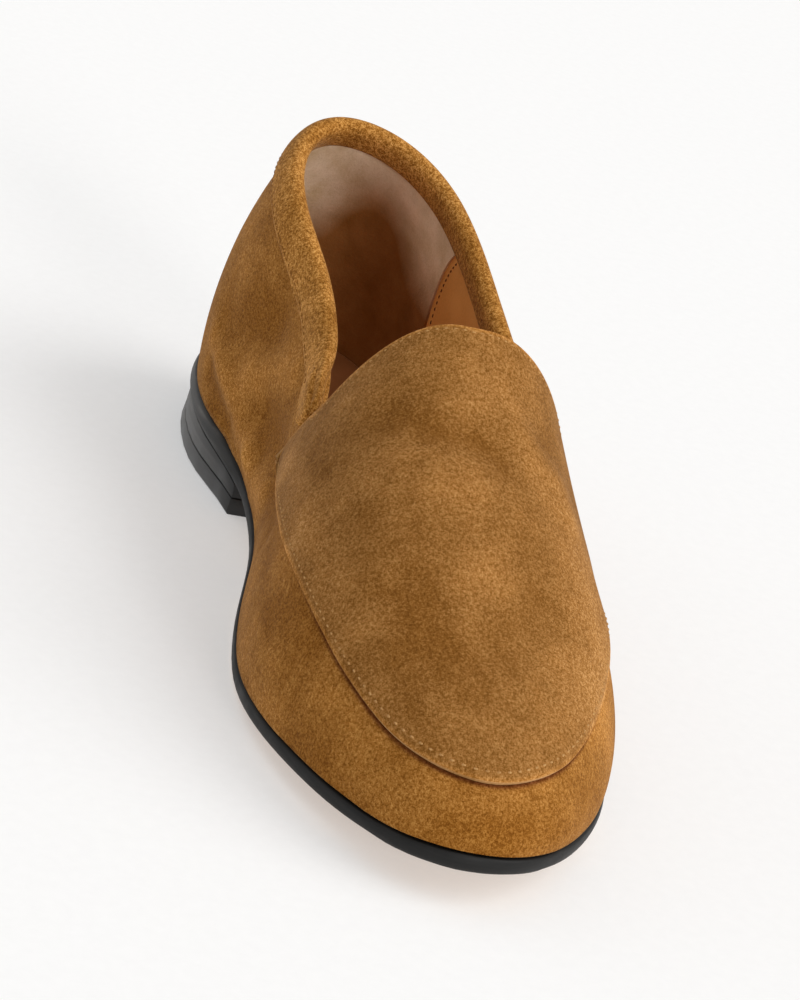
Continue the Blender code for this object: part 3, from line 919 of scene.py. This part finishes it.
def waxed_black(name, roughness, line_scale, gloss, wax, reflection_gain):
    """Black sole finish: dyed, waxed and slightly uneven, with faint layers, and greyed by a painted
    reflection where the noted share is high.
    """
    material, shader = new_material(name, roughness)
    shader.inputs["Specular IOR Level"].default_value = gloss
    shader.inputs["Coat Weight"].default_value = wax
    shader.inputs["Coat Roughness"].default_value = WAX_ROUGHNESS
    weave = Weave(material)
    clouds = weave.noise(WAX_CLOUDS)
    layer_noise = Noise(line_scale, LAYER_DETAIL, LAYER_ROUGHNESS)
    layers = weave.noise(layer_noise, vector=weave.stretched(LAYER_STRETCH))
    mixed = weave.blend([(clouds, WAX_CLOUD_WEIGHT), (layers, WAX_LAYER_WEIGHT)])
    # Painted reflection: the black is greyed by the noted share.
    reflection_lit = weave.grey_ramp(weave.attribute("heel_reflection"), [(0.0, 1.0), (1.0, reflection_gain)])
    weave.link(weave.multiply(weave.ramp(mixed, BLACKS), reflection_lit), shader.inputs["Base Color"])
    uneven = weave.grey_ramp(clouds, [(WAX_LOW, roughness - SMOOTHER), (WAX_HIGH, roughness + ROUGHER)])
    weave.link(uneven, shader.inputs["Roughness"])
    bumps = weave.bump(layers, LAYER_BUMP, under=weave.bump(clouds, WAX_BUMP))
    weave.link(bumps, shader.inputs["Normal"])
    return material


# Its seam tint is painted shade on the wall beside the apron's, band's and strip's edges.
QUARTER_SUEDE = suede(
    "quarter_suede", deep=(0.220, 0.077, 0.009), body=(0.405, 0.164, 0.028), light=(0.640, 0.312, 0.082),
    contrast=1.35, grain=1.0, seam=(0.42, 0.30, 0.34))
# Its seam tint above 1 is a painted highlight along the apron's edges.
APRON_SUEDE = suede(
    "apron_suede", deep=(0.190, 0.074, 0.011), body=(0.340, 0.145, 0.032), light=(0.535, 0.272, 0.088),
    contrast=1.35, grain=1.0, seam=(1.6, 1.6, 1.6))
BAND_SUEDE = suede(
    "band_suede", deep=(0.215, 0.078, 0.009), body=(0.495, 0.206, 0.036), light=(0.850, 0.435, 0.122),
    contrast=1.5, grain=1.15, seam=WHITE)
CUT_EDGE = suede(
    "cut_edge", deep=(0.460, 0.235, 0.080), body=(0.580, 0.310, 0.115), light=(0.700, 0.400, 0.170),
    contrast=0.8, grain=0.8, seam=WHITE)
# Its last tint is painted shade towards the pocket's foot and in a spot under the collar.
POCKET_SUEDE = suede(
    "heel_pocket_suede", deep=(0.90, 0.69, 0.48), body=(1.08, 0.85, 0.62), light=(1.13, 0.95, 0.74),
    contrast=0.8, grain=0.9, seam=WHITE, painted_shade=(0.33, 0.17, 0.065))
SIDE_LINING = smooth_leather(
    "side_lining", deep=(0.660, 0.310, 0.085), body=(0.780, 0.370, 0.105), light=(0.860, 0.430, 0.130),
    roughness=0.5)
SOCK_LEATHER = smooth_leather(
    "sock_leather", deep=(0.280, 0.115, 0.040), body=(0.330, 0.140, 0.050), light=(0.380, 0.165, 0.062),
    roughness=0.5)
# Their last number is how far a painted reflection greys the black round the heel.
SOLE_BLACK = waxed_black("sole_black", roughness=0.55, line_scale=900.0, gloss=0.2, wax=0.03, reflection_gain=6.5)
HEEL_BLACK = waxed_black("heel_black", roughness=0.5, line_scale=620.0, gloss=0.35, wax=0.12, reflection_gain=6.0)
LIFT_BLACK = waxed_black("lift_black", roughness=0.5, line_scale=300.0, gloss=0.5, wax=0.2, reflection_gain=6.0)
SOLE_TAN = smooth_leather(
    "sole_underside", deep=(0.420, 0.250, 0.120), body=(0.500, 0.310, 0.160), light=(0.560, 0.360, 0.200),
    roughness=0.5)
THREAD_TAN = thread("thread_tan", deep=(0.380, 0.190, 0.060), light=(0.540, 0.310, 0.120))
THREAD_DEEP = thread("thread_deep", deep=(0.200, 0.078, 0.012), light=(0.300, 0.125, 0.024))
THREAD_BROWN = thread("thread_brown", deep=(0.110, 0.045, 0.016), light=(0.190, 0.085, 0.032))


def give(piece, slot, *materials):
    """Gives a piece its materials and the body that it rides on; the slot is not used."""
    for material in materials:
        piece.data.materials.append(material)
    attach(piece, "root")


# Upper

def make_upper():
    """The suede wall, with its lining leather on the inside."""
    piece = copy_of("upper", "upper_suede")
    hold_rims(piece)
    subdivide(piece, SMOOTH)
    soften_rims(piece, RIM_SOFTNESS, CHAMFER)
    inside = facing_out(piece) < 0
    flatten_ends(piece, WALL_FLAT)
    # The seams give the wall painted shade beside the apron, band and strip edges.
    press_creases(piece, [apron_edge_path(0.0), band_path(BAND_FOOT, 0.0),
                          strip_edge_path(INNER, STRIP_SEAM, 0.0), strip_edge_path(OUTER, STRIP_SEAM, 0.0)])
    give(piece, "tan_suede", QUARTER_SUEDE, SIDE_LINING)
    paint_faces(piece, inside, 1)
    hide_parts("upper")
    return piece


def flatten_ends(piece, amount):
    """Thins a piece from its inner side where the collar runs into the apron."""
    points = points_of(piece)
    normals = normals_of(piece)
    for side in (INNER, OUTER):
        angles = turn(np.linspace(NOTCH_STATION - FLAT_STATIONS, NOTCH_STATION, FLAT_SAMPLES))
        line = skin(angles, side, collar_rise(angles, side), np.zeros(FLAT_SAMPLES))
        nearest = np.min([((points - place) ** 2).sum(axis=1) for place in line], axis=0)
        inside = np.clip(FLAT_TOP - FLAT_TURN * side * normals[:, 1], 0, 1)
        points[:, 1] += side * amount * inside * np.exp(-nearest / FLAT_REACH ** 2)
    set_points(piece, points)


def skive(piece, wall, seams, out, depths):
    """Thins an overlay, whose outer face is a distance out from the wall, and seats it towards its edges."""
    points = points_of(piece)
    gaps = seam_gap(points, seams) * SEAM_REACH
    for index in range(len(points)):
        if gaps[index] < SEAM_REACH:
            _, normal, _, distance = wall.find_nearest(Vector(points[index]))
            share = min(max((distance - OVERLAY_GAP) / (out - OVERLAY_GAP), 0.0), 1.0)
            sunk = depths[index] * (SEAT_SHARE + (1.0 - SEAT_SHARE) * share)
            sunk *= math.exp(-(gaps[index] / SKIVE_REACH) ** 2)
            points[index] -= sunk * np.array(normal)
    set_points(piece, points)


def blunt_ears(piece):
    """Rounds the corners where the apron's lower edge turns up to the collar."""
    points = points_of(piece)
    for side in (INNER, OUTER):
        tip = skin(turn(EAR_STATION), side, EAR_RISE, APRON_OUT)
        notch = skin(turn(NOTCH_STATION), side, float(collar_rise(turn(NOTCH_STATION), side)), APRON_OUT)
        upwards = (notch - tip) / np.linalg.norm(notch - tip)
        near = np.exp(-((points - tip) ** 2).sum(axis=1) / EAR_REACH ** 2)
        points += EAR_BLUNT * near[:, None] * upwards
    set_points(piece, points)


def make_apron(upper):
    """The plug, with a paler raw edge and a painted highlight on its top along the edges."""
    piece = copy_of("apron", "apron_panel")
    wall = surface_of(upper)
    under = np.array([wall.find_nearest(Vector(centre))[1] for centre in face_centres(piece)])
    seams = [apron_edge_path(APRON_OUT), throat_path(0.0, APRON_OUT)]
    rim = np.abs((face_normals(piece) * under).sum(axis=1)) < RIM_FACING
    near = seam_gap(face_centres(piece), seams) < RIM_REACH
    paint_faces(piece, rim & near, 1)
    hold_rims(piece)
    subdivide(piece, FINE)
    soften_rims(piece, RIM_SOFTNESS, ROUND)
    blunt_ears(piece)
    depths = np.interp(points_of(piece)[:, 0], [SKIVE_BACK, SKIVE_FRONT], [0.0, APRON_SKIVE])
    skive(piece, wall, seams, APRON_OUT, depths)
    press_creases(piece, seams)
    give(piece, "apron_suede", APRON_SUEDE, CUT_EDGE)
    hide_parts("apron")
    return piece


def make_band():
    """The folded collar band."""
    piece = copy_of("collar_binding", "collar_band")
    subdivide(piece, SMOOTH)
    flatten_ends(piece, BAND_FLAT)
    press_creases(piece)
    give(piece, "binding_suede", BAND_SUEDE)
    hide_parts("collar_binding")
    return piece


def make_back_strip(upper):
    """The strip over the back seam, thinned at its edges."""
    piece = copy_of("back_strip", "heel_strip")
    hold_rims(piece)
    subdivide(piece, SMOOTH)
    soften_rims(piece, STRIP_SOFTNESS, ROUND)
    seams = [strip_edge_path(INNER, 0.0, 0.0), strip_edge_path(OUTER, 0.0, 0.0)]
    depths = np.full(len(piece.data.vertices), STRIP_SKIVE)
    skive(piece, surface_of(upper), seams, STRIP_OUT, depths)
    press_creases(piece)
    give(piece, "tan_suede", QUARTER_SUEDE)
    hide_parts("back_strip")


# Heel pocket: the pale lining round the heel, in millimetres, stations and shares
POCKET_STATION = 0.147
POCKET_LEAN = 0.036
POCKET_CURVE = 5
POCKET_TOP = -5.2
POCKET_FOOT = 0.0
POCKET_THICKNESS = 0.5
# Painted shade in the pocket: full below the first height, gone above the second, and a spot of painted
# shadow at the back.
POCKET_SHADED_HEIGHT = 30.0
POCKET_LIT_HEIGHT = 58.0
SHADOW_SPOT = (-114.0, 13.0, 57.0)
SHADOW_SPOT_REACH = 15.0
SHADOW_SPOT_AMOUNT = 0.6
POCKET_SEAM = 1.03
POCKET_SEAM_FOOT = 0.02
POCKET_SEAM_TOP = 0.98
POCKET_SEAM_SAMPLES = 30
POCKET_CLEAR = 0.06
POCKET_COLUMNS = 60
POCKET_ROWS = 24


def pocket_place(across, up):
    """Places on the wall's inner face: across runs from the inner front edge round the heel to the outer."""
    points = np.empty((len(across), 3))
    for side in (INNER, OUTER):
        chosen = (across >= 0) if side == OUTER else (across < 0)
        share = np.abs(across[chosen])
        rise_share = up[chosen]
        end = POCKET_STATION + POCKET_LEAN * rise_share ** POCKET_CURVE
        angle = turn(end) * share
        rim = collar_rise(angle, side)
        top = rim + POCKET_TOP * rise_per_mm(angle, side, rim)
        rise = POCKET_FOOT + (top - POCKET_FOOT) * rise_share
        points[chosen] = skin(angle, side, rise, np.full(len(share), -WALL - POCKET_CLEAR))
    return points


def pocket_seam_path(side):
    """On the side lining, just ahead of the pocket's edge."""
    up = np.linspace(POCKET_SEAM_FOOT, POCKET_SEAM_TOP, POCKET_SEAM_SAMPLES)
    across = np.full(len(up), POCKET_SEAM * side)
    return pocket_place(across, up)


def make_heel_pocket():
    """The pocket, pale at the top, with painted shade turning it brown towards its foot and in a spot at the
    back.
    """
    bpy.ops.object.select_all(action="DESELECT")
    bpy.ops.mesh.primitive_grid_add(x_subdivisions=POCKET_COLUMNS, y_subdivisions=POCKET_ROWS, size=2.0)
    piece = bpy.context.active_object
    piece.name = "heel_pocket_lining"
    flat = points_of(piece) * MM
    set_points(piece, pocket_place(flat[:, 0], (flat[:, 1] + 1.0) / 2.0))
    edit(piece)
    bpy.ops.mesh.normals_make_consistent(inside=False)
    leave_edit()
    if facing_out(piece).mean() > 0:
        edit(piece)
        bpy.ops.mesh.flip_normals()
        leave_edit()
    thicken(piece, POCKET_THICKNESS)
    points = points_of(piece)
    # Painted shade: darker towards the pocket's foot and in the spot at the back.
    foot = np.interp(points[:, 2], [POCKET_SHADED_HEIGHT, POCKET_LIT_HEIGHT], [1.0, 0.0])
    spot = SHADOW_SPOT_AMOUNT * np.exp(-((points - SHADOW_SPOT) ** 2).sum(axis=1) / SHADOW_SPOT_REACH ** 2)
    note(piece, "inside_shade", np.minimum(foot + spot, 1.0))
    press_creases(piece)
    shade_by_angle(piece)
    give(piece, "lining_leather", POCKET_SUEDE)


# Stitches

def model_stitch():
    """One stitch lying along X: a round thread that dips at both ends."""
    bpy.ops.object.select_all(action="DESELECT")
    lying = (0, math.pi / 2, 0)
    bpy.ops.mesh.primitive_cylinder_add(vertices=STITCH_SIDES, radius=1.0, depth=2.0, rotation=lying)
    stitch = bpy.context.active_object
    bpy.ops.object.transform_apply(location=True, rotation=True, scale=True)
    edit(stitch)
    for bend in (STITCH_BEND, -STITCH_BEND):
        bpy.ops.mesh.select_all(action="SELECT")
        bpy.ops.mesh.bisect(plane_co=(bend, 0, 0), plane_no=(1, 0, 0))
    leave_edit()
    shape = triples(stitch.data.vertices, "co")
    ends = np.abs(shape[:, 0]) > STITCH_ENDS
    shape[ends, 1:] *= STITCH_PINCH
    shape[ends, 2] -= STITCH_DIP
    faces = [tuple(face.vertices) for face in stitch.data.polygons]
    bpy.data.objects.remove(stitch, do_unlink=True)
    return shape, faces


STITCH_SHAPE, STITCH_FACES = model_stitch()


def spaced(path, pitch):
    """Points along a path at even steps, with the direction there."""
    along = lengths_along(path)
    count = int(along[-1] / pitch)
    places = (np.arange(count) + 0.5) * along[-1] / count
    ahead = np.clip(places + TANGENT_SHARE * pitch, 0, along[-1])
    behind = np.clip(places - TANGENT_SHARE * pitch, 0, along[-1])
    tangents = places_at(path, along, ahead) - places_at(path, along, behind)
    return places_at(path, along, places), tangents / np.linalg.norm(tangents, axis=1, keepdims=True)


def sew(name, path, pitch, share, carrier, radius, material, slot):
    """A row of stitches along a path on a carrier, each as long as a share of the pitch."""
    surface = surface_of(carrier)
    places, tangents = spaced(path, pitch)
    points = []
    faces = []
    for place, tangent in zip(places, tangents):
        found, normal, _, _ = surface.find_nearest(Vector(place))
        up = np.array(normal)
        along = tangent - up * tangent.dot(up)
        along /= np.linalg.norm(along)
        across = np.cross(up, along)
        scale = np.array([pitch * share / 2, radius, radius])
        local = STITCH_SHAPE * scale
        start = len(points) * len(STITCH_SHAPE)
        points.append(np.array(found) + local @ np.array([along, across, up]))
        faces.extend(tuple(start + index for index in face) for face in STITCH_FACES)
    mesh = bpy.data.meshes.new(name)
    mesh.from_pydata((np.concatenate(points) * MM).tolist(), [], faces)
    row = bpy.data.objects.new(name, mesh)
    bpy.context.scene.collection.objects.link(row)
    shade_by_angle(row)
    give(row, slot, material)


# Sole, heel and insole: lengths in millimetres, tilts as parts of a normal
UNDER_TILT = -0.9
HEEL_FRONT = -48.0
REFLECTION_BACK = -80.0
REFLECTION_INNER = -14.0
REFLECTION_OUTER = 10.0
EDGE_TILT = 0.25
HEEL_SEAT_OUT = 0.6


def heel_reflection(points):
    """How much a painted reflection greys the black: most round the back and the inner side of the heel."""
    along = np.interp(points[:, 0], [REFLECTION_BACK, HEEL_FRONT], [1.0, 0.0])
    return along * np.interp(points[:, 1], [REFLECTION_INNER, REFLECTION_OUTER], [1.0, 0.0])


def make_sole():
    """The sole, black at its edge and natural underneath, its lower edge flush with the heel's."""
    piece = copy_of("outsole", "sole")
    points = points_of(piece)
    normals = normals_of(piece)
    level = np.linalg.norm(normals[:, :2], axis=1)
    seat = (points[:, 0] < HEEL_FRONT) & (normals[:, 2] < -EDGE_TILT) & (level > EDGE_TILT)
    points[seat, :2] += HEEL_SEAT_OUT * normals[seat, :2] / level[seat, None]
    set_points(piece, points)
    soften_rims(piece, SOLE_SOFTNESS, CHAMFER)
    subdivide(piece, COARSE)
    note(piece, "heel_reflection", heel_reflection(points_of(piece)))
    give(piece, "sole_leather", SOLE_BLACK, SOLE_TAN)
    under = (face_normals(piece)[:, 2] < UNDER_TILT) & (face_centres(piece)[:, 0] > HEEL_FRONT)
    paint_faces(piece, under, 1)
    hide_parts("outsole")


def make_heel(node_name, piece_name, slot, material):
    """One layer of the heel."""
    piece = copy_of(node_name, piece_name)
    soften_rims(piece, HEEL_SOFTNESS, CHAMFER)
    note(piece, "heel_reflection", heel_reflection(points_of(piece)))
    shade_by_angle(piece)
    give(piece, slot, material)
    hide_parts(node_name)


def make_sock():
    """The insole's leather cover."""
    piece = copy_of("insole", "sock")
    soften_rims(piece, RIM_SOFTNESS, CHAMFER)
    subdivide(piece, COARSE)
    give(piece, "lining_leather", SOCK_LEATHER)
    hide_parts("insole")


# Stage
FLOOR_HALF = 30.0
PAPER_ROUGHNESS = 0.85
PAPER_FIBRES = Noise(300.0, 3.0, 0.6)
PAPER_SHADES = [(0.3, (0.59, 0.59, 0.59)), (0.7, (0.61, 0.61, 0.61))]
PAPER_GLOW = 0.37
AIR_COLOUR = (1.0, 0.995, 0.99, 1.0)
AIR_STRENGTH = 0.4
Sun = namedtuple("Sun", "name towards degrees strength colour")
SUNS = [
    Sun("key", (0.30, 0.70, 0.65), 50, 1.45, (1.0, 0.985, 0.96)),
    Sun("front", (0.93, 0.18, 0.32), 16, 1.0, (1.0, 0.985, 0.96)),
    Sun("top", (0.10, 0.15, 1.00), 90, 0.5, (1.0, 0.99, 0.98)),
    Sun("back", (-0.55, -0.65, 0.52), 50, 0.2, (1.0, 0.99, 0.98)),
]


def make_floor():
    """A wide pale floor, a little bright of itself so that shadows on it stay light."""
    bpy.ops.object.select_all(action="DESELECT")
    bpy.ops.mesh.primitive_plane_add(size=2 * FLOOR_HALF)
    floor = bpy.context.active_object
    floor.name = "studio_floor"
    material, shader = new_material("studio_paper", PAPER_ROUGHNESS)
    weave = Weave(material)
    fibres = weave.noise(PAPER_FIBRES)
    weave.link(weave.ramp(fibres, PAPER_SHADES), shader.inputs["Base Color"])
    shader.inputs["Emission Color"].default_value = (*WHITE, 1.0)
    shader.inputs["Emission Strength"].default_value = PAPER_GLOW
    floor.data.materials.append(material)


def make_sun(sun):
    """Soft light from far away."""
    bpy.ops.object.light_add(type="SUN", location=sun.towards)
    light = bpy.context.active_object
    light.name = sun.name
    light.data.angle = math.radians(sun.degrees)
    light.data.energy = sun.strength
    light.data.color = sun.colour
    light.rotation_euler = Vector(sun.towards).to_track_quat("Z", "Y").to_euler()


def make_camera():
    bpy.ops.object.camera_add(location=CAMERA_PLACE)
    camera = bpy.context.active_object
    camera.name = "photo_camera"
    forward = (Vector(CAMERA_TARGET) - Vector(CAMERA_PLACE)).normalized()
    level = forward.cross(Vector((0, 0, 1))).normalized()
    upright = level.cross(forward)
    right = level * math.cos(CAMERA_ROLL) + upright * math.sin(CAMERA_ROLL)
    up = right.cross(forward)
    turned = Matrix((right, up, -forward)).transposed()
    camera.rotation_euler = turned.to_euler()
    camera.data.sensor_width = SENSOR
    camera.data.lens = CAMERA_LENS
    camera.data.clip_end = CAMERA_REACH
    bpy.context.scene.camera = camera


def make_world():
    world = bpy.data.worlds.new("studio_air")
    bpy.context.scene.world = world
    bpy.context.scene.view_settings.view_transform = "Standard"
    world.use_nodes = True
    background = world.node_tree.nodes["Background"]
    background.inputs["Color"].default_value = AIR_COLOUR
    background.inputs["Strength"].default_value = AIR_STRENGTH


def main():
    make_camera()
    make_floor()
    make_world()
    for sun in SUNS:
        make_sun(sun)
    upper = make_upper()
    apron = make_apron(upper)
    band = make_band()
    make_back_strip(upper)
    make_heel_pocket()
    make_sole()
    make_heel("heel_block", "heel_stack", "heel_leather", HEEL_BLACK)
    make_heel("heel_top_lift", "heel_lift", "heel_rubber", LIFT_BLACK)
    make_sock()
    sew("apron_stitches", apron_stitch_path(), APRON_STITCH_PITCH, DOT_SHARE, apron, THREAD_RADIUS,
        THREAD_TAN, "apron_suede")
    sew("throat_stitches", throat_path(THROAT_STITCH_INSET, APRON_OUT), THROAT_STITCH_PITCH, DOT_SHARE, apron,
        FINE_THREAD_RADIUS, THREAD_TAN, "apron_suede")
    sew("band_stitches", band_path(BAND_STITCH_UP, BAND_OUT), BAND_STITCH_PITCH, STITCH_SHARE, band,
        FINE_THREAD_RADIUS, THREAD_DEEP, "binding_suede")
    for side, label in ((INNER, "inner"), (OUTER, "outer")):
        sew("pocket_stitches_" + label, pocket_seam_path(side), POCKET_STITCH_PITCH, STITCH_SHARE, upper,
            THREAD_RADIUS, THREAD_BROWN, "lining_leather")


main()
